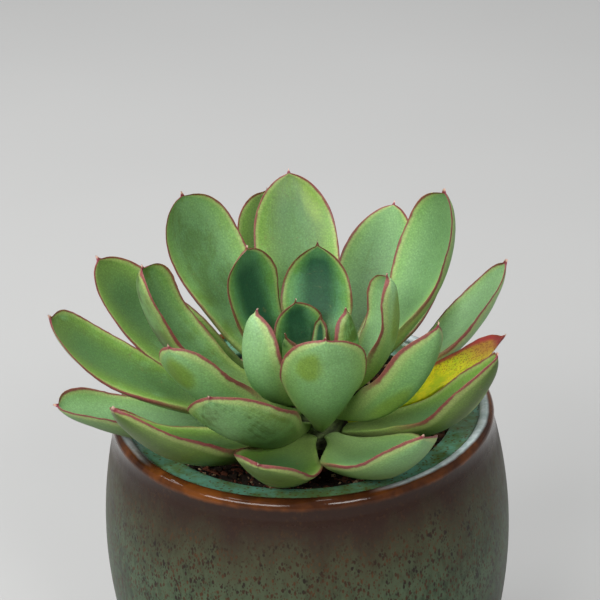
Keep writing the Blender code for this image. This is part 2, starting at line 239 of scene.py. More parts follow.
# Every leaf: beside the margin, beside it underneath, rubbed spot, scuffs, foot, pale line, dry point
LIGHT_EDGE = (0.170, 0.335, 0.052, 1.0)
LIGHT_UNDER_EDGE = (0.240, 0.360, 0.080, 1.0)
RUBBED_PATCH = (0.225, 0.345, 0.045, 1.0)
OLIVE_SCUFF = (0.150, 0.140, 0.050, 1.0)
PALE_FOOT = (0.300, 0.420, 0.130, 1.0)
PALE_YELLOW = (0.380, 0.430, 0.150, 1.0)
DRY_POINT = (0.580, 0.360, 0.290, 1.0)
# How strongly the middle channel shows: its deeper green together with painted shade in the hollow
MATURE_CHANNEL_SHADE = 0.7
YOUNG_CHANNEL_SHADE = 1.25
# Leaf patterns, in patches per metre
BLOOM_CLOUDS = 85.0
BLOOM_FINE_CLOUDS = 420.0
SKIN_GRAIN = 2300.0
SKIN_GRANULES = 2100.0
SCUFFS = 330.0
# Lines along the margin, in metres from it: where they fade out and where they are full
RED_LINE = (0.00072, 0.00026)
PALE_LINE = (0.0016, 0.0007)
YELLOWED_RED_LINE = (0.0022, 0.0008)
LINE_UNEVENNESS = 0.0005
# Height above the pot's foot over which undersides turn from dark to frosted
RAISED_ZONE = (0.086, 0.104)

# Yellowed leaf: two yellows, foot, browned end, freckles, specks, margin, tip and point
LEMON_GREEN = (0.300, 0.400, 0.004, 1.0)
BRIGHT_YELLOW = (0.580, 0.520, 0.006, 1.0)
GREENISH_FOOT = (0.240, 0.360, 0.040, 1.0)
ORANGE_BROWN = (0.250, 0.105, 0.020, 1.0)
FRECKLE_BROWN = (0.130, 0.030, 0.008, 1.0)
SPECK_BLACK = (0.020, 0.012, 0.008, 1.0)
YELLOWED_MARGIN = (0.240, 0.020, 0.030, 1.0)
DEAD_TIP = (0.160, 0.020, 0.020, 1.0)
DEAD_POINT = (0.500, 0.360, 0.280, 1.0)

# Glaze: its colours, and its zones in metres above the foot, from the axis or from the middle plane
GLAZE_DARK_GREEN = (0.022, 0.036, 0.017, 1.0)
GLAZE_GREEN = (0.058, 0.090, 0.048, 1.0)
GLAZE_RUST = (0.036, 0.025, 0.011, 1.0)
GLAZE_MAROON = (0.019, 0.0060, 0.0040, 1.0)
SPECK_DARK = (0.012, 0.007, 0.004, 1.0)
SPECK_RUST = (0.058, 0.026, 0.008, 1.0)
DARK_AMBER = (0.030, 0.009, 0.003, 1.0)
HONEY_AMBER = (0.150, 0.045, 0.008, 1.0)
# Milky band on the lip's top: partly bluish glaze, partly painted reflection of bright surroundings, near
# white where the reflection is painted
MILKY_BLUE_AND_REFLECTION = (0.34, 0.45, 0.45, 1.0)
MILKY_WHITE_AND_REFLECTION = (0.66, 0.74, 0.76, 1.0)
SHELF_OLIVE = (0.085, 0.150, 0.050, 1.0)
SHELF_TURQUOISE = (0.115, 0.300, 0.215, 1.0)
SHELF_SPECK = (0.085, 0.065, 0.015, 1.0)
CLAY_BROWN = (0.20, 0.13, 0.08, 1.0)
CLAY_PALE = (0.30, 0.20, 0.13, 1.0)
RUSTY_ZONE = (0.0500, 0.0740)
MAROON_ZONE = (0.0690, 0.0800)
AMBER_ZONE = (0.0834, 0.0846)
GLOSSY_ZONE = (0.0770, 0.0838)
BARE_ZONE = (0.0030, 0.0016)
# Where the milky band with its painted reflection lies: the lip's outer top, only towards the right and left
# sides
MILKY_REFLECTION_RIM = (0.0440, 0.0432)
MILKY_REFLECTION_HEIGHT = 0.0840
MILKY_REFLECTION_RIGHT = (0.013, 0.028)
MILKY_REFLECTION_LEFT = (-0.034, -0.042)
SHELF_RIM = (0.04175, 0.04135)
SHELF_ABOVE = 0.05
# Glaze patterns, in patches or specks per metre
GLAZE_CLOUDS = 60.0
GLAZE_FINE_CLOUDS = 320.0
GLAZE_RUNS = 900.0
GLAZE_WIDE_RUNS = 130.0
SPECKS = 1100.0
SMALL_SPECKS = 1900.0
SHELF_SPECKS = 900.0

# Potting mix, stem and floor colours
PEAT_BLACK = (0.006, 0.004, 0.003, 1.0)
PEAT_BROWN = (0.030, 0.018, 0.011, 1.0)
RED_BARK = (0.110, 0.035, 0.018, 1.0)
BEIGE_CHIP = (0.380, 0.270, 0.150, 1.0)
STEM_SCAR = (0.035, 0.045, 0.014, 1.0)
STEM_GREEN = (0.100, 0.145, 0.040, 1.0)
FLOOR_GREY = (0.34, 0.34, 0.335, 1.0)
FLOOR_PALE = (0.37, 0.37, 0.365, 1.0)

# Studio: softboxes with their place, width, depth and power, all aimed at the middle of the rosette
FLOOR_SIZE = 6.0
LAMP_AIM = (0.0, 0.0, 0.09)
SOFTBOXES = (
    ("overhead_softbox", (-0.25, 0.30, 0.95), 0.90, 0.60, 11.5),
    ("front_left_softbox", (-0.60, -0.75, 0.80), 0.90, 0.35, 12.0),
    ("front_right_softbox", (0.40, -0.85, 0.80), 0.35, 0.35, 5.5),
)
AIR_COLOUR = (0.97, 0.98, 1.0, 1.0)
AIR_STRENGTH = 0.33

# Camera: where the photograph was taken from
PHOTO_SIDE_PX = 600
FOCAL_PX = 2130
SENSOR_WIDTH = 36.0
CLIP_START = 0.01
CLIP_END = 20.0
EYE_DISTANCE = 0.503
EYE_ELEVATION = math.radians(28.6)
VIEW_PITCH = math.radians(25.8)
VIEW_YAW = math.radians(0.04)
VIEW_ROLL = math.radians(2.3)


class Value:
    """One value in a node tree, with arithmetic, so that a rule reads as it is written on paper."""

    def __init__(self, tree, socket, vector=False):
        self.tree = tree
        self.socket = socket
        self.vector = vector

    def worked(self, operation, *others):
        """This value through one maths node."""
        kind = "ShaderNodeVectorMath" if self.vector else "ShaderNodeMath"
        node = self.tree.nodes.new(kind)
        node.operation = operation
        for place, item in enumerate((self, *others)):
            feed(self.tree, node.inputs[place], item)
        return Value(self.tree, node.outputs[0], self.vector)

    def __add__(self, other):
        return self.worked("ADD", other)

    def __radd__(self, other):
        return self.worked("ADD", other)

    def __sub__(self, other):
        return self.worked("SUBTRACT", other)

    def __rsub__(self, other):
        return (self * -1.0) + other

    def __mul__(self, other):
        if self.vector:
            node = self.tree.nodes.new("ShaderNodeVectorMath")
            node.operation = "SCALE"
            feed(self.tree, node.inputs[0], self)
            feed(self.tree, node.inputs["Scale"], other)
            return Value(self.tree, node.outputs[0], True)
        return self.worked("MULTIPLY", other)

    def __truediv__(self, other):
        return self.worked("DIVIDE", other)

    def __rtruediv__(self, other):
        return self ** -1.0 * other

    def __pow__(self, other):
        return self.worked("POWER", other)

    def sine(self):
        return self.worked("SINE")

    def cosine(self):
        return self.worked("COSINE")

    def root(self):
        return self.worked("SQRT")

    def size(self):
        return self.worked("ABSOLUTE")

    def at_least(self, other):
        return self.worked("MAXIMUM", other)

    def at_most(self, other):
        return self.worked("MINIMUM", other)

    def over(self, other):
        """1 where this value is above the other one, else 0."""
        return self.worked("GREATER_THAN", other)

    def eased(self, low, high):
        """0 below low, 1 above high, and a smooth change between."""
        return self.mapped(low, high, 0.0, 1.0, "SMOOTHSTEP")

    def mapped(self, low, high, to_low, to_high, way="LINEAR"):
        """The range low to high, stretched to another one and kept inside it."""
        node = self.tree.nodes.new("ShaderNodeMapRange")
        node.interpolation_type = way
        for name, item in (("Value", self), ("From Min", low), ("From Max", high),
                           ("To Min", to_low), ("To Max", to_high)):
            feed(self.tree, node.inputs[name], item)
        return Value(self.tree, node.outputs["Result"])


def feed(tree, socket, item):
    """Give a socket either a link or a plain value."""
    if isinstance(item, Value):
        tree.links.new(item.socket, socket)
    else:
        socket.default_value = item


def joined(tree, x, y, z):
    """Three values as one vector."""
    node = tree.nodes.new("ShaderNodeCombineXYZ")
    for socket, item in zip(node.inputs, (x, y, z)):
        feed(tree, socket, item)
    return Value(tree, node.outputs[0], True)


def parted(vector):
    """A vector's three parts."""
    node = vector.tree.nodes.new("ShaderNodeSeparateXYZ")
    feed(vector.tree, node.inputs[0], vector)
    return [Value(vector.tree, socket) for socket in node.outputs]


def noise(tree, place, scale, detail=2.0, roughness=0.5, distortion=0.0):
    """Cloudy noise from 0 to 1 at a place."""
    node = tree.nodes.new("ShaderNodeTexNoise")
    feed(tree, node.inputs["Vector"], place)
    node.inputs["Scale"].default_value = scale
    node.inputs["Detail"].default_value = detail
    node.inputs["Roughness"].default_value = roughness
    node.inputs["Distortion"].default_value = distortion
    return Value(tree, node.outputs[0])


def cells(tree, place, scale, randomness=1.0):
    """Distance to the nearest of many scattered points, for specks and grit."""
    node = tree.nodes.new("ShaderNodeTexVoronoi")
    feed(tree, node.inputs["Vector"], place)
    node.inputs["Scale"].default_value = scale
    node.inputs["Randomness"].default_value = randomness
    return Value(tree, node.outputs["Distance"])


def blended(tree, share, first, second):
    """Two colours mixed by a share from 0 to 1."""
    node = tree.nodes.new("ShaderNodeMix")
    node.data_type = "RGBA"
    feed(tree, node.inputs["Factor"], share)
    feed(tree, node.inputs["A"], first)
    feed(tree, node.inputs["B"], second)
    return Value(tree, node.outputs["Result"], True)


def start_tree(name, inputs):
    """A Geometry Nodes tree with named inputs; gives the tree, its inputs by name and its end."""
    tree = bpy.data.node_groups.new(name, "GeometryNodeTree")
    tree.interface.new_socket("Geometry", in_out="OUTPUT", socket_type="NodeSocketGeometry")
    tree.interface.new_socket("Geometry", in_out="INPUT", socket_type="NodeSocketGeometry")
    for title, kind in inputs:
        tree.interface.new_socket(title, in_out="INPUT", socket_type=kind)
    start = tree.nodes.new("NodeGroupInput")
    given = {socket.name: Value(tree, socket) for socket in start.outputs if socket.name}
    return tree, given, tree.nodes.new("NodeGroupOutput")


def kept(tree, geometry, name, item, domain="POINT"):
    """Store a value on the mesh under a name, for the material to read."""
    node = tree.nodes.new("GeometryNodeStoreNamedAttribute")
    node.data_type = "FLOAT"
    node.domain = domain
    tree.links.new(geometry, node.inputs["Geometry"])
    node.inputs["Name"].default_value = name
    feed(tree, node.inputs["Value"], item)
    return node.outputs["Geometry"]


def end_tree(tree, geometry, given, end):
    """Every tree ends here: real meshes instead of instances, then the finish."""
    real = tree.nodes.new("GeometryNodeRealizeInstances")
    finished = tree.nodes.new("GeometryNodeSetMaterial")
    tree.links.new(geometry, real.inputs["Geometry"])
    tree.links.new(real.outputs["Geometry"], finished.inputs["Geometry"])
    feed(tree, finished.inputs["Material"], given["Finish"])
    tree.links.new(finished.outputs["Geometry"], end.inputs["Geometry"])


def grown(name, tree, settings, finish, base=None):
    """Run a tree with its settings on an object, and keep the result as a plain mesh object."""
    source = base or bpy.data.objects.new(name + "_source", bpy.data.meshes.new(name + "_source"))
    if source.name not in bpy.context.scene.collection.objects:
        bpy.context.scene.collection.objects.link(source)
    growth = source.modifiers.new("growth", "NODES")
    growth.node_group = tree
    for item in tree.interface.items_tree:
        if item.in_out == "INPUT" and item.name in settings:
            growth[item.identifier] = settings[item.name]
    bpy.context.view_layer.update()
    seen = source.evaluated_get(bpy.context.evaluated_depsgraph_get())
    mesh = bpy.data.meshes.new_from_object(seen)
    source.modifiers.remove(growth)
    bpy.data.objects.remove(source, do_unlink=True)
    mesh.materials.clear()
    mesh.materials.append(finish)
    mesh.name = name
    piece = bpy.data.objects.new(name, mesh)
    bpy.context.scene.collection.objects.link(piece)
    return piece


LEAF_NUMBERS = (
    "Length", "Width", "Foot Share", "Thickness", "Rise", "Curl", "Side Bend", "Roll", "Widest", "Waist",
    "End", "Cup", "Phase", "Heading", "Patch Along", "Patch Across", "Patch Length", "Patch Breadth",
    "Patch Face", "Bloom",
)
LEAF_INPUTS = (
    ("Finish", "NodeSocketMaterial"),
    ("Rings", "NodeSocketInt"),
    ("Sides", "NodeSocketInt"),
    ("Foot", "NodeSocketVector"),
) + tuple((title, "NodeSocketFloat") for title in LEAF_NUMBERS)


def crowded(share):
    """Place of a ring along the leaf: closer together towards the tip."""
    return 1.0 - (1.0 - share).at_least(0.0) ** TIP_CROWDING


def half_width_share(along, given):
    """Half width as a share of the largest: narrow foot, widest past the middle, round end."""
    opening = (((along / given["Widest"]).at_most(1.0)) * (0.5 * math.pi)).sine() ** given["Waist"]
    widening = given["Foot Share"] + (1.0 - given["Foot Share"]) * opening
    past = ((along - given["Widest"]) / (1.0 - given["Widest"])).at_least(0.0).at_most(1.0)
    return widening * (1.0 - past ** END_ROUNDNESS).at_least(0.0) ** given["End"]


def thickness_share(along):
    """Thickness as a share of its nominal value: fleshy from the foot on, thin at the end."""
    swell = (((along / SWELL_REACH) ** SWELL_LEAN).at_most(1.0) * math.pi).sine() * SWELL_SHARE
    fleshy = FOOT_THICKNESS + swell - along * TAPER_SHARE
    return fleshy * (1.0 - along ** END_THINNING).at_least(0.0).root()


def midrib_place(tree, given, share, column):
    """Middle line of the leaf: short steps, each a little steeper than the last, added up along the leaf."""
    before = (share - (1.0 / (given["Rings"] - 1.0))).at_least(0.0)
    reached = crowded(share)
    passed = crowded(before)
    middle = (reached + passed) * 0.5
    rise = given["Rise"] + given["Curl"] * middle ** LEAF_BEND
    heading = given["Side Bend"] * middle
    stride = (reached - passed) * given["Length"]
    level = rise.cosine() * stride
    step = joined(tree, level * heading.cosine(), level * heading.sine(), rise.sine() * stride)
    total = tree.nodes.new("GeometryNodeAccumulateField")
    total.data_type = "FLOAT_VECTOR"
    feed(tree, total.inputs["Value"], step)
    feed(tree, total.inputs["Group ID"], column)
    return Value(tree, total.outputs["Leading"], True)


def leaf_frame(tree, given, along):
    """The leaf's own right and upper directions at a place along it."""
    rise = given["Rise"] + given["Curl"] * along ** LEAF_BEND
    heading = given["Side Bend"] * along
    across = joined(tree, heading.sine(), heading.cosine() * -1.0, 0.0)
    slant = rise.sine() * -1.0
    up = joined(tree, heading.cosine() * slant, heading.sine() * slant, rise.cosine())
    upper = up * given["Roll"].cosine() + across * given["Roll"].sine()
    right = across * given["Roll"].cosine() - up * given["Roll"].sine()
    return right, upper


def leaf_tree():
    """A leaf by rule: rings of skin along its midrib, cupped, waved at the margin, with a short point."""
    tree, given, end = start_tree("leaf_by_rule", LEAF_INPUTS)
    grid = tree.nodes.new("GeometryNodeMeshGrid")
    grid.inputs["Size X"].default_value = 1.0
    grid.inputs["Size Y"].default_value = 1.0
    feed(tree, grid.inputs["Vertices X"], given["Rings"])
    feed(tree, grid.inputs["Vertices Y"], given["Sides"])
    place = Value(tree, tree.nodes.new("GeometryNodeInputPosition").outputs[0], True)
    share, turn, _ = parted(place)
    share = share + 0.5
    turn = turn + 0.5
    # The added quarter keeps a column's number from falling by one when its fraction is cut off
    column = (turn * (given["Sides"] - 1.0)).worked("ROUND") + 0.25

    along = crowded(share)
    side = (turn * (2.0 * math.pi)).cosine()
    face = (turn * (2.0 * math.pi)).sine()
    out = side.size()

    blade_end = (given["Length"] - POINT_LENGTH) / given["Length"]
    blade = (along / blade_end).at_most(1.0)
    point = ((1.0 - along) / (1.0 - blade_end)).at_most(1.0) * (0.5 * POINT_WIDTH)
    rounding = (1.0 - (1.0 - (along / FOOT_ROUNDING).at_most(1.0)) ** 2.0).at_least(0.0).root()
    reach = along * given["Length"]
    outline = half_width_share(blade, given) * given["Width"] * 0.5
    sway = noise(tree, joined(tree, reach, out.over(0.5) * side, given["Phase"]), SWAYS_PER_METRE)
    swayed = outline * (1.0 - SWAY_SHARE / 2 + sway * SWAY_SHARE)
    half = (swayed ** 2.0 + point ** 2.0).root() * rounding
    thick = (thickness_share(blade) * given["Thickness"]).at_least(point * POINT_THICKNESS) * rounding

    cup = half * (side * side - CUP_BALANCE) * (along.eased(0.0, CUP_START) * given["Cup"])
    upper_skin = face.at_least(0.0) * thick * UPPER_SIDE
    under_skin = face.at_most(0.0) * thick * UNDERSIDE * (1.0 - out * EDGE_THINNING)
    other_side = (0.0 - side).over(0.0) * 2.0
    wave = (along * (2.0 * math.pi * WAVES_PER_LEAF) + given["Phase"] + other_side).sine()
    crinkle = noise(tree, joined(tree, reach, side * 0.01, given["Phase"]), CRINKLES_PER_METRE) - 0.5
    swell = noise(tree, joined(tree, reach, half * side, given["Phase"]), SWELLS_PER_METRE) - 0.5
    margin_start = along.eased(0.0, WAVE_START)
    height = cup + upper_skin + under_skin + wave * margin_start * out ** 3.0 * WAVE_HEIGHT
    height = height + crinkle * margin_start * out ** 6.0 * (2.0 * CRINKLE_HEIGHT)
    height = height + swell * rounding * (2.0 * SWELL_HEIGHT)

    right, upper = leaf_frame(tree, given, along)
    spot = midrib_place(tree, given, share, column) + right * (half * side) + upper * height
    turned = tree.nodes.new("ShaderNodeVectorRotate")
    turned.rotation_type = "Z_AXIS"
    feed(tree, turned.inputs["Vector"], spot)
    feed(tree, turned.inputs["Angle"], given["Heading"])
    foot = Value(tree, given["Foot"].socket, True)
    spot = foot + Value(tree, turned.outputs[0], True)

    ahead = half_width_share((blade + SLOPE_STEP).at_most(1.0), given) * given["Width"] * 0.5
    slope = out * (ahead - outline) / (given["Length"] * SLOPE_STEP)
    rim = (1.0 - out) * half / (slope * slope + 1.0).root()
    patch_away = ((along - given["Patch Along"]) / given["Patch Length"]) ** 2.0
    patch_off = ((side - given["Patch Across"]) / given["Patch Breadth"]) ** 2.0
    patch = (patch_away + patch_off).root().mapped(*PATCH_FADE, 1.0, 0.0, "SMOOTHSTEP")
    patch = patch * (face * given["Patch Face"]).over(0.0)

    shape = grid.outputs["Mesh"]
    for title, item in (("along", along), ("across", side), ("facing", face), ("rim", rim),
                        ("patch", patch), ("bloom", given["Bloom"])):
        shape = kept(tree, shape, title, item)
    placed = tree.nodes.new("GeometryNodeSetPosition")
    tree.links.new(shape, placed.inputs["Geometry"])
    feed(tree, placed.inputs["Position"], spot)
    closed = tree.nodes.new("GeometryNodeMergeByDistance")
    tree.links.new(placed.outputs["Geometry"], closed.inputs["Geometry"])
    closed.inputs["Distance"].default_value = LEAF_SEAM_DISTANCE
    soft = tree.nodes.new("GeometryNodeSetShadeSmooth")
    tree.links.new(closed.outputs["Geometry"], soft.inputs["Geometry"])
    end_tree(tree, soft.outputs["Geometry"], given, end)
    return tree


def read_value(tree, name):
    """A value that the mesh carries under a name."""
    node = tree.nodes.new("ShaderNodeAttribute")
    node.attribute_name = name
    return Value(tree, node.outputs["Fac"])


def object_place(tree):
    """Where a point lies, in metres."""
    return Value(tree, tree.nodes.new("ShaderNodeTexCoord").outputs["Object"], True)


def stretched(tree, place, x, y, z):
    """A place stretched along its axes, for streaks and long specks."""
    node = tree.nodes.new("ShaderNodeMapping")
    feed(tree, node.inputs["Vector"], place)
    node.inputs["Scale"].default_value = (x, y, z)
    return Value(tree, node.outputs[0], True)


def relief(tree, height, distance, strength=1.0):
    """Fine relief of a surface from a height between 0 and 1."""
    node = tree.nodes.new("ShaderNodeBump")
    node.inputs["Strength"].default_value = strength
    node.inputs["Distance"].default_value = distance
    feed(tree, node.inputs["Height"], height)
    return Value(tree, node.outputs[0], True)


def new_finish(name):
    """An empty material; gives it with its tree and its one shader."""
    made = bpy.data.materials.new(name)
    made.use_nodes = True
    tree = made.node_tree
    return made, tree, tree.nodes["Principled BSDF"]


def end_finish(tree, shader, skin, rough, height, distance, strength):
    """Every finish ends here: its colour, its roughness and its fine relief."""
    tree.links.new(skin.socket, shader.inputs["Base Color"])
    feed(tree, shader.inputs["Roughness"], rough)
    tree.links.new(relief(tree, height, distance, strength).socket, shader.inputs["Normal"])


def let_light_in(shader, share, spread, reach):
    """Light goes a little way into the flesh of a leaf."""
    shader.inputs["Subsurface Weight"].default_value = share
    shader.inputs["Subsurface Radius"].default_value = spread
    shader.inputs["Subsurface Scale"].default_value = reach


def leaf_finish(name, frosted, waxy, clear, deep_and_shaded, under, margin, channel_shade):
    """Leaf skin: waxy bloom rubbed off in patches, a thin crimson margin and a yellower underside."""
    made, tree, shader = new_finish(name)
    place = object_place(tree)
    along = read_value(tree, "along")
    across = read_value(tree, "across").size()
    facing = read_value(tree, "facing")
    rim = read_value(tree, "rim")
    patch = read_value(tree, "patch")
    bloom = read_value(tree, "bloom")

    clouds = noise(tree, place, BLOOM_CLOUDS, 4.0, 0.6, 0.6)
    fine_clouds = noise(tree, place, BLOOM_FINE_CLOUDS, 3.0, 0.6)
    grain = noise(tree, place, SKIN_GRAIN, 2.0, 0.6)
    granules = cells(tree, place, SKIN_GRANULES)
    streaks = noise(tree, joined(tree, along * 2.2, across * 8.0, bloom * 7.0), 2.0, 3.0, 0.65)

    wax = (clouds * 0.9 + fine_clouds * 0.35 + streaks * 0.4 + bloom * 0.9 - 0.77).eased(0.36, 0.64)
    wax = (wax - patch).at_least(0.0)
    coated = blended(tree, bloom.eased(0.75, 1.0), waxy, frosted)
    upper = blended(tree, wax, clear, coated)
    # Darker along the middle of the upper side: partly the leaf's deeper green, partly painted shade in the
    # cupped hollow, strongest on the young leaves at the heart
    hollow_shade = (1.0 - across).eased(0.15, 0.80) * along.eased(0.99, 0.80) * along.eased(0.10, 0.45)
    deepened_and_shaded = hollow_shade * (1.35 - clouds * 0.7) * (1.2 - bloom * 0.8) * channel_shade
    upper = blended(tree, deepened_and_shaded, upper, deep_and_shaded)
    light_edge = across.eased(0.50, 0.95) * (1.0 - bloom * 0.5)
    upper = blended(tree, light_edge * 0.7, upper, LIGHT_EDGE)
    raised = parted(place)[2].eased(*RAISED_ZONE)
    lower = blended(tree, (wax + bloom.eased(0.45, 0.8) * 0.35).at_most(1.0) * raised, under, coated)
    lower = blended(tree, across.eased(0.45, 0.90) * raised * 0.4, lower, LIGHT_UNDER_EDGE)
    skin = blended(tree, facing.eased(-0.2, 0.2), lower, upper)
    skin = blended(tree, patch * 0.5, skin, RUBBED_PATCH)

    scratches = noise(tree, stretched(tree, place, 1.0, 1.0, 1.6), SCUFFS, 5.0, 0.75, 0.8)
    scuffed = scratches.eased(0.60, 0.72) * (1.0 - bloom).eased(0.0, 1.0)
    skin = blended(tree, scuffed * 0.9, skin, OLIVE_SCUFF)
    skin = blended(tree, along.eased(0.50, 0.05) * 0.55, skin, PALE_FOOT)
    pale_line = rim.eased(*PALE_LINE) * along.eased(0.10, 0.40)
    skin = blended(tree, pale_line * 0.42, skin, PALE_YELLOW)
    uneven = (fine_clouds - 0.5) * LINE_UNEVENNESS + (clouds - 0.5) * LINE_UNEVENNESS
    breadth = facing.mapped(-0.3, 0.3, 0.72, 1.0)
    red_line = ((rim + uneven) / breadth).eased(*RED_LINE) * along.eased(0.26, 0.60)
    skin = blended(tree, red_line * 0.9, skin, margin)
    skin = blended(tree, along.eased(0.970, 0.982) * 0.8, skin, margin)
    skin = blended(tree, along.eased(0.984, 0.995), skin, DRY_POINT)
    skin = skin * (grain.mapped(0.3, 0.7, 0.85, 1.14) * granules.mapped(0.1, 0.6, 1.14, 0.93))

    rough = wax.mapped(0.0, 1.0, 0.40, 0.52) + grain * 0.10
    end_finish(tree, shader, skin, rough, grain * 0.3 + fine_clouds * 0.7, 0.00009, 0.6)
    shader.inputs["Specular IOR Level"].default_value = 0.34
    let_light_in(shader, 0.10, (0.7, 1.0, 0.2), 0.0012)
    return made


def yellowed_finish():
    """The dying leaf: bright yellow, orange-brown freckles towards its end, crimson upper margin and tip."""
    made, tree, shader = new_finish("yellowed_leaf_skin")
    place = object_place(tree)
    along = read_value(tree, "along")
    across = read_value(tree, "across")
    rim = read_value(tree, "rim")
    clouds = noise(tree, place, 160.0, 4.0, 0.6, 0.3)
    fine_clouds = noise(tree, place, 900.0, 3.0, 0.6)
    freckles = cells(tree, place, 1700.0)
    black_specks = cells(tree, place, 900.0)

    skin = blended(tree, (clouds * 0.6 + fine_clouds * 0.4).eased(0.38, 0.62), LEMON_GREEN, BRIGHT_YELLOW)
    skin = blended(tree, along.eased(0.30, 0.02) * 0.5, skin, GREENISH_FOOT)
    browned = (along + clouds * 0.35 - across * 0.08).eased(0.80, 1.08)
    skin = blended(tree, browned * 0.9, skin, ORANGE_BROWN)
    brown_freckles = freckles.eased(0.50, 0.28) * (along + clouds * 0.3 - across * 0.10).eased(0.62, 0.90)
    skin = blended(tree, brown_freckles * 0.75, skin, FRECKLE_BROWN)
    near_foot = along.eased(0.12, 0.20) * along.eased(0.46, 0.34)
    skin = blended(tree, black_specks.eased(0.24, 0.17) * near_foot, skin, SPECK_BLACK)
    red_line = rim.eased(*YELLOWED_RED_LINE) * along.eased(0.2, 0.5) * across.eased(0.1, -0.2)
    skin = blended(tree, red_line * 0.9, skin, YELLOWED_MARGIN)
    skin = blended(tree, (along + clouds * 0.1).eased(0.94, 1.01), skin, DEAD_TIP)
    skin = blended(tree, along.eased(0.988, 0.996), skin, DEAD_POINT)

    end_finish(tree, shader, skin, clouds.mapped(0.2, 0.8, 0.38, 0.55), clouds, 0.0001, 0.7)
    shader.inputs["Specular IOR Level"].default_value = 0.4
    let_light_in(shader, 0.15, (1.0, 0.8, 0.1), 0.0015)
    return made


def glaze_finish():
    """Reactive glaze: speckled green, maroon under an amber lip, a milky band at the sides that is partly
    bluish glaze and partly painted reflection, turquoise inside.
    """
    made, tree, shader = new_finish("stoneware_glaze")
    place = object_place(tree)
    x, y, z = parted(place)
    radius = (x * x + y * y).root()
    clouds = noise(tree, place, GLAZE_CLOUDS, 4.0, 0.6)
    fine_clouds = noise(tree, place, GLAZE_FINE_CLOUDS, 4.0, 0.65)
    runs = noise(tree, stretched(tree, place, 1.0, 1.0, 0.35), GLAZE_RUNS, 3.0, 0.6)
    wide_runs = noise(tree, stretched(tree, place, 1.0, 1.0, 0.12), GLAZE_WIDE_RUNS, 3.0, 0.5)
    specks = cells(tree, stretched(tree, place, 1.0, 1.0, 0.55), SPECKS)
    small_specks = cells(tree, stretched(tree, place, 1.0, 1.0, 0.60), SMALL_SPECKS)

    mottled = (clouds * 0.4 + runs * 0.4 + fine_clouds * 0.3).eased(0.42, 0.66)
    body = blended(tree, mottled, GLAZE_DARK_GREEN, GLAZE_GREEN)
    drip = (wide_runs - 0.5) * 0.016 + (fine_clouds - 0.5) * 0.014 - x.size() * 0.10
    rusty = (z + drip).eased(*RUSTY_ZONE)
    body = blended(tree, rusty * 0.75, body, GLAZE_RUST)
    under_lip = (z + drip * 0.8).eased(*MAROON_ZONE)
    body = blended(tree, under_lip * 0.9, body, GLAZE_MAROON)
    brown = blended(tree, fine_clouds.eased(0.35, 0.65), SPECK_DARK, SPECK_RUST)
    shown = 1.0 - under_lip * 0.75
    body = blended(tree, (specks + fine_clouds * 0.3).eased(0.53, 0.42) * shown, body, brown)
    body = blended(tree, (small_specks + fine_clouds * 0.4).eased(0.57, 0.44) * shown * 0.8, body, brown)
    honey = (clouds * 0.8 + fine_clouds * 0.2).eased(0.36, 0.68)
    lip = (z + (fine_clouds - 0.5) * 0.0008).eased(*AMBER_ZONE)
    body = blended(tree, lip, body, blended(tree, honey, DARK_AMBER, HONEY_AMBER))

    # Lip top at the right and left sides: a pale milky band, partly bluish glaze and partly painted
    # reflection
    milky_reflection_rim = (radius + (clouds - 0.5) * 0.0012).eased(*MILKY_REFLECTION_RIM)
    milky_and_reflected = blended(tree, fine_clouds.eased(0.3, 0.7), MILKY_BLUE_AND_REFLECTION, MILKY_WHITE_AND_REFLECTION)
    milky_reflection_sides = x.eased(*MILKY_REFLECTION_RIGHT) + x.eased(*MILKY_REFLECTION_LEFT) * 0.7
    body = blended(tree, milky_reflection_rim * z.over(MILKY_REFLECTION_HEIGHT) * milky_reflection_sides, body, milky_and_reflected)
    shelf_clouds = (clouds * 0.6 + fine_clouds * 0.4).eased(0.40, 0.60)
    shelf = blended(tree, shelf_clouds, SHELF_OLIVE, SHELF_TURQUOISE)
    shelf_specks = (cells(tree, place, SHELF_SPECKS) + fine_clouds * 0.3).eased(0.50, 0.32)
    shelf = blended(tree, shelf_specks * 0.85, shelf, SHELF_SPECK)
    on_shelf = (radius + (fine_clouds - 0.5) * 0.0005).eased(*SHELF_RIM) * z.over(SHELF_ABOVE)
    body = blended(tree, on_shelf, body, shelf)
    bare = z.eased(*BARE_ZONE)
    body = blended(tree, bare, body, blended(tree, fine_clouds, CLAY_BROWN, CLAY_PALE))

    rough = fine_clouds.mapped(0.3, 0.7, 0.40, 0.50) - z.eased(*GLOSSY_ZONE) * 0.38 + bare * 0.4
    end_finish(tree, shader, body, rough, wide_runs * 0.6 + fine_clouds * 0.4, 0.0003, 0.45)
    shader.inputs["Specular IOR Level"].default_value = 0.24
    return made


def mix_finish():
    """Peat and bark: nearly black crumbs with some red-brown and some beige chips."""
    made, tree, shader = new_finish("potting_mix")
    tone = read_value(tree, "tone")
    clouds = noise(tree, object_place(tree), 500.0, 4.0, 0.7)
    crumb = blended(tree, clouds, PEAT_BLACK, PEAT_BROWN)
    crumb = blended(tree, tone.eased(0.66, 0.72), crumb, RED_BARK)
    crumb = blended(tree, tone.eased(0.90, 0.93), crumb, BEIGE_CHIP)
    crumb = crumb * clouds.mapped(0.2, 0.8, 0.6, 1.3)
    end_finish(tree, shader, crumb, 0.92, clouds, 0.0004, 0.9)
    shader.inputs["Specular IOR Level"].default_value = 0.2
    return made


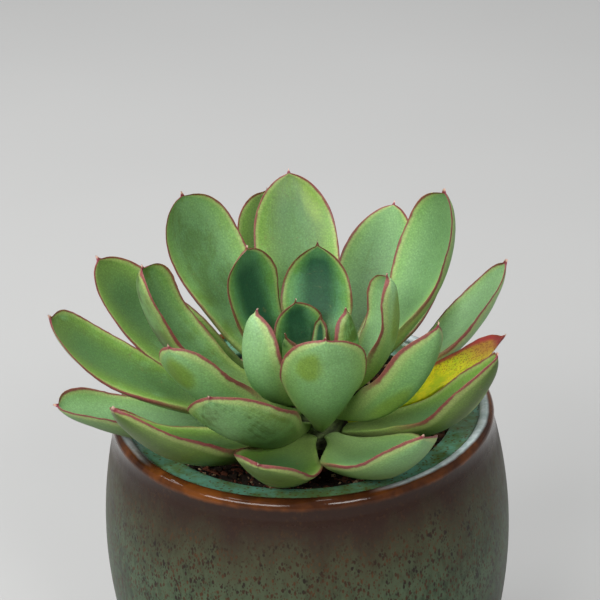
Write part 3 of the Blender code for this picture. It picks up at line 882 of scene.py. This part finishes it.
def stem_finish():
    """Short stem: dull dark green with rings of old leaf scars."""
    made, tree, shader = new_finish("stem_bark")
    place = object_place(tree)
    rings = noise(tree, stretched(tree, place, 1.0, 1.0, 4.0), 260.0, 4.0, 0.65, 0.5)
    clouds = noise(tree, place, 700.0, 3.0, 0.6)
    bark = blended(tree, rings.eased(0.35, 0.65), STEM_SCAR, STEM_GREEN) * clouds.mapped(0.2, 0.8, 0.7, 1.2)
    end_finish(tree, shader, bark, 0.75, rings, 0.0004, 0.9)
    return made


def floor_finish():
    """Plain pale floor."""
    made, tree, shader = new_finish("pale_floor")
    tone = blended(tree, noise(tree, object_place(tree), 6.0, 2.0), FLOOR_GREY, FLOOR_PALE)
    tree.links.new(tone.socket, shader.inputs["Base Color"])
    shader.inputs["Roughness"].default_value = 0.75
    return made


def wall_radius(height):
    """Outside radius of the pot's body."""
    if height < BELLY_HEIGHT:
        share = (BELLY_HEIGHT - height) / BELLY_HEIGHT
        return BELLY_RADIUS - (BELLY_RADIUS - FOOT_RADIUS) * share ** 2
    share = (height - BELLY_HEIGHT) / (NECK_HEIGHT - BELLY_HEIGHT)
    return BELLY_RADIUS - (BELLY_RADIUS - NECK_RADIUS) * share ** 2


def quarter_round(radius, height, wide, tall, first, last, steps):
    """Points on a quarter of an ellipse, from one angle to another in degrees."""
    points = []
    for step in range(steps + 1):
        angle = math.radians(first + (last - first) * step / steps)
        points.append((radius + wide * math.cos(angle), height + tall * math.sin(angle)))
    return points


def pot_profile():
    """Outline of the pot, from the floor inside, over the shelf and the lip, down to the foot."""
    points = [(0.0, FLOOR), (FOOT_RADIUS - 2 * WALL, FLOOR)]
    rise = (SHELF_INNER_HEIGHT - MOUTH_DEPTH - FLOOR) / INSIDE_STEPS
    for step in range(1, INSIDE_STEPS):
        height = FLOOR + rise * step
        points.append((min(wall_radius(height) - WALL, BELLY_RADIUS - WALL), height))
    points.append((MOUTH_RADIUS, SHELF_INNER_HEIGHT - MOUTH_DEPTH))
    points += quarter_round(MOUTH_RADIUS + MOUTH_BEVEL, SHELF_INNER_HEIGHT - MOUTH_BEVEL,
                            MOUTH_BEVEL, MOUTH_BEVEL, 180, 90, BEVEL_STEPS)
    for step in range(1, SHELF_STEPS):
        share = step / SHELF_STEPS
        radius = MOUTH_RADIUS + MOUTH_BEVEL + (LIP_INNER_RADIUS - MOUTH_RADIUS - MOUTH_BEVEL) * share
        points.append((radius, SHELF_INNER_HEIGHT + (SHELF_OUTER_HEIGHT - SHELF_INNER_HEIGHT) * share ** 2))
    points += quarter_round(LIP_CREST_RADIUS, SHELF_OUTER_HEIGHT, LIP_CREST_RADIUS - LIP_INNER_RADIUS,
                            POT_TOP - SHELF_OUTER_HEIGHT, 180, 90, LIP_STEPS)
    points += quarter_round(LIP_CREST_RADIUS, LIP_SHOULDER_HEIGHT, LIP_RADIUS - LIP_CREST_RADIUS,
                            POT_TOP - LIP_SHOULDER_HEIGHT, 80, 0, LIP_STEPS)
    for step in range(BODY_STEPS + 1):
        height = NECK_HEIGHT + (FOOT_CHAMFER - NECK_HEIGHT) * step / BODY_STEPS
        points.append((wall_radius(height), height))
    points += [(FOOT_RADIUS - FOOT_CHAMFER, 0.0), (0.0, 0.0)]
    return points


def make_pot(finish):
    """The pot, thrown as one piece and not quite even."""
    points = pot_profile()
    shape = bmesh.new()
    corners = [shape.verts.new((radius, 0.0, height)) for radius, height in points]
    edges = [shape.edges.new(pair) for pair in zip(corners, corners[1:])]
    bmesh.ops.spin(shape, geom=corners + edges, cent=(0, 0, 0), axis=(0, 0, 1),
                   angle=2 * math.pi, steps=POT_STEPS, use_merge=True)
    bmesh.ops.remove_doubles(shape, verts=shape.verts, dist=SEAM_DISTANCE)
    bmesh.ops.recalc_face_normals(shape, faces=shape.faces)
    for corner in shape.verts:
        radius = math.hypot(corner.co.x, corner.co.y)
        if radius > POLE_RADIUS and corner.co.z > FOOT_CHAMFER:
            unevenness = hand_noise.noise(corner.co * THROWING_SCALE) * THROWING_UNEVENNESS
            inward = min(unevenness, 0.0)
            corner.co.x += corner.co.x / radius * inward
            corner.co.y += corner.co.y / radius * inward
    mesh = bpy.data.meshes.new("glazed_pot")
    shape.to_mesh(mesh)
    shape.free()
    mesh.shade_smooth()
    mesh.materials.append(finish)
    pot = bpy.data.objects.new("glazed_pot", mesh)
    bpy.context.scene.collection.objects.link(pot)
    return pot


MIX_INPUTS = (
    ("Finish", "NodeSocketMaterial"),
    ("Crumbs per Area", "NodeSocketFloat"),
    ("Crumb Size", "NodeSocketFloat"),
    ("Chips per Area", "NodeSocketFloat"),
    ("Chip Size", "NodeSocketFloat"),
    ("Seed", "NodeSocketInt"),
)


def scattered(tree, ground, density, seed, shape, size, tilt):
    """Crumbs of one kind, thrown on the upward faces of the ground, each turned and sized by chance."""
    scatter = tree.nodes.new("GeometryNodeDistributePointsOnFaces")
    tree.links.new(ground, scatter.inputs["Mesh"])
    feed(tree, scatter.inputs["Density"], density)
    feed(tree, scatter.inputs["Seed"], seed)
    normal = Value(tree, tree.nodes.new("GeometryNodeInputNormal").outputs[0], True)
    feed(tree, scatter.inputs["Selection"], parted(normal)[2].over(CRUMB_UPWARD))
    turned = tree.nodes.new("FunctionNodeRandomValue")
    turned.data_type = "FLOAT_VECTOR"
    turned.inputs["Min"].default_value = (-tilt, -tilt, 0.0)
    turned.inputs["Max"].default_value = (tilt, tilt, 2 * math.pi)
    feed(tree, turned.inputs["Seed"], seed)
    sized = tree.nodes.new("FunctionNodeRandomValue")
    sized.data_type = "FLOAT_VECTOR"
    sized.inputs["Min"].default_value = SMALLEST_CRUMB
    sized.inputs["Max"].default_value = LARGEST_CRUMB
    feed(tree, sized.inputs["Seed"], seed + 1.0)
    grown_size = Value(tree, sized.outputs["Value"], True) * size
    placed = tree.nodes.new("GeometryNodeInstanceOnPoints")
    tree.links.new(scatter.outputs["Points"], placed.inputs["Points"])
    tree.links.new(shape, placed.inputs["Instance"])
    tree.links.new(turned.outputs["Value"], placed.inputs["Rotation"])
    feed(tree, placed.inputs["Scale"], grown_size)
    chance = tree.nodes.new("FunctionNodeRandomValue")
    feed(tree, chance.inputs["Seed"], seed + 2.0)
    return kept(tree, placed.outputs["Instances"], "tone", Value(tree, chance.outputs["Value"]), "INSTANCE")


def mix_tree():
    """Potting mix: the block as given, with crumbs and bark chips lying on its top."""
    tree, given, end = start_tree("potting_mix_by_rule", MIX_INPUTS)
    ground = given["Geometry"].socket
    together = tree.nodes.new("GeometryNodeJoinGeometry")
    tree.links.new(kept(tree, ground, "tone", 0.0), together.inputs["Geometry"])
    for kind, fineness, tilt, shift in STREWN:
        ball = tree.nodes.new("GeometryNodeMeshIcoSphere")
        ball.inputs["Radius"].default_value = 1.0
        ball.inputs["Subdivisions"].default_value = fineness
        place = Value(tree, tree.nodes.new("GeometryNodeInputPosition").outputs[0], True)
        rugged = tree.nodes.new("GeometryNodeSetPosition")
        tree.links.new(ball.outputs["Mesh"], rugged.inputs["Geometry"])
        reach = noise(tree, place, RUGGED_SCALE, 1.0) * RUGGED_MORE + RUGGED_LEAST
        feed(tree, rugged.inputs["Position"], place * reach)
        strewn = scattered(tree, ground, given[kind + "s per Area"], given["Seed"] + shift,
                           rugged.outputs["Geometry"], given[kind + " Size"], tilt)
        tree.links.new(strewn, together.inputs["Geometry"])
    end_tree(tree, together.outputs["Geometry"], given, end)
    return tree


def make_mix(finish):
    """The block of mix with a rougher top, then crumbs and chips strewn on it."""
    shape = bmesh.new()
    shape.from_mesh(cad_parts["growing_mix"].data)
    bmesh.ops.remove_doubles(shape, verts=shape.verts, dist=SEAM_DISTANCE)
    top_edges = [edge for edge in shape.edges if min(end.co.z for end in edge.verts) > MIX_TOP_LEVEL]
    bmesh.ops.subdivide_edges(shape, edges=top_edges, cuts=MIX_CUTS, use_grid_fill=True)
    bmesh.ops.triangulate(shape, faces=shape.faces)
    for corner in shape.verts:
        if corner.co.z > MIX_TOP_LEVEL and corner.normal.z > MIX_UPWARD:
            corner.co.z += hand_noise.noise(corner.co * MIX_GRAIN) * MIX_ROUGHNESS
    mesh = bpy.data.meshes.new("potting_mix_block")
    shape.to_mesh(mesh)
    shape.free()
    block = bpy.data.objects.new("potting_mix_block", mesh)
    settings = {
        "Finish": finish,
        "Crumbs per Area": CRUMBS_PER_AREA,
        "Crumb Size": CRUMB_SIZE,
        "Chips per Area": CHIPS_PER_AREA,
        "Chip Size": CHIP_SIZE,
        "Seed": MIX_SEED,
    }
    return grown("potting_mix", mix_tree(), settings, finish, block)


def make_leaf(number, row, tree, finish):
    """One leaf from its row of sizes."""
    name, level, heading, rise, curl, length, width, roll, side, widest, waist, point, cup = row
    height, reach = LEVELS[level]
    turned = math.radians(heading)
    patch = LEAF_PATCHES.get(name, NO_PATCH)
    settings = {
        "Finish": finish,
        "Rings": LEAF_RINGS,
        "Sides": LEAF_SIDES + 1,
        "Length": length - BLADE_INSET,
        "Width": width,
        "Foot Share": LEAF_FOOT_WIDTH / width,
        "Thickness": YELLOWED_THICKNESS if name == YELLOWED_LEAF else LEAF_THICKNESS,
        "Rise": math.radians(rise),
        "Curl": math.radians(curl),
        "Side Bend": math.radians(side),
        "Roll": math.radians(roll),
        "Widest": widest,
        "Waist": waist,
        "End": point,
        "Cup": cup,
        "Phase": PHASE_STEP * number,
        "Heading": turned,
        "Foot": (STEM_X + reach * math.cos(turned), STEM_Y + reach * math.sin(turned), height),
        "Patch Along": patch[0],
        "Patch Across": patch[1],
        "Patch Length": patch[2],
        "Patch Breadth": patch[3],
        "Patch Face": patch[4],
        "Bloom": LEAF_BLOOM.get(name, USUAL_BLOOM),
    }
    return grown(name + "_blade", tree, settings, finish)


def make_camera():
    """The photograph's viewpoint."""
    lip_centre = Vector((0.0, 0.0, POT_TOP))
    away = Vector((0.0, -math.cos(EYE_ELEVATION), math.sin(EYE_ELEVATION)))
    level = math.cos(VIEW_PITCH)
    ahead = Vector((math.sin(VIEW_YAW) * level, math.cos(VIEW_YAW) * level, -math.sin(VIEW_PITCH)))
    data = bpy.data.cameras.new("viewpoint")
    data.sensor_width = SENSOR_WIDTH
    data.lens = SENSOR_WIDTH * FOCAL_PX / PHOTO_SIDE_PX
    data.clip_start = CLIP_START
    data.clip_end = CLIP_END
    camera = bpy.data.objects.new("viewpoint", data)
    turned = ahead.to_track_quat("-Z", "Y").to_matrix() @ Matrix.Rotation(-VIEW_ROLL, 3, "Z")
    camera.matrix_world = Matrix.Translation(lip_centre + away * EYE_DISTANCE) @ turned.to_4x4()
    bpy.context.scene.collection.objects.link(camera)
    bpy.context.scene.camera = camera


def make_softbox(name, place, width, depth, power):
    """One softbox, aimed at the middle of the rosette."""
    data = bpy.data.lights.new(name, "AREA")
    data.shape = "RECTANGLE"
    data.size = width
    data.size_y = depth
    data.energy = power
    lamp = bpy.data.objects.new(name, data)
    lamp.location = place
    lamp.rotation_euler = (Vector(LAMP_AIM) - Vector(place)).to_track_quat("-Z", "Y").to_euler()
    bpy.context.scene.collection.objects.link(lamp)


def make_studio():
    """Pale floor, pale surroundings and softboxes."""
    bpy.ops.mesh.primitive_plane_add(size=FLOOR_SIZE)
    floor = bpy.context.active_object
    floor.name = "studio_floor"
    floor.data.materials.append(floor_finish())
    for softbox in SOFTBOXES:
        make_softbox(*softbox)
    world = bpy.data.worlds.new("studio_air")
    world.use_nodes = True
    air = world.node_tree.nodes["Background"]
    air.inputs["Color"].default_value = AIR_COLOUR
    air.inputs["Strength"].default_value = AIR_STRENGTH
    bpy.context.scene.world = world
    bpy.context.scene.view_settings.view_transform = "Standard"


def main():
    """Studio first, then every leaf blade, the pot, the mix and the stem."""
    make_camera()
    make_studio()

    mature = leaf_finish("leaf_skin", MATURE_FROSTED, MATURE_WAXY, MATURE_CLEAR, MATURE_DEEP_AND_SHADED, MATURE_UNDER,
                         CRIMSON_MARGIN, MATURE_CHANNEL_SHADE)
    young = leaf_finish("young_leaf_skin", YOUNG_FROSTED, YOUNG_WAXY, YOUNG_CLEAR, YOUNG_DEEP_AND_SHADED, YOUNG_UNDER,
                        RED_BROWN_MARGIN, YOUNG_CHANNEL_SHADE)
    yellowed = yellowed_finish()
    tree = leaf_tree()
    for number, row in enumerate(LEAVES):
        name = row[0]
        if name == YELLOWED_LEAF:
            finish, slot = yellowed, "withered_leaf"
        elif name in YOUNG_LEAVES:
            finish, slot = young, "young_leaf"
        else:
            finish, slot = mature, "leaf"
        blade = make_leaf(number, row, tree, finish)
        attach(blade, BODY)
        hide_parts(name)

    pot = make_pot(glaze_finish())
    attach(pot, BODY)
    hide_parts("pot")

    mix = make_mix(mix_finish())
    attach(mix, BODY)
    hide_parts("growing_mix")

    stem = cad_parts["stem"]
    stem.data.materials.clear()
    stem.data.materials.append(stem_finish())


main()
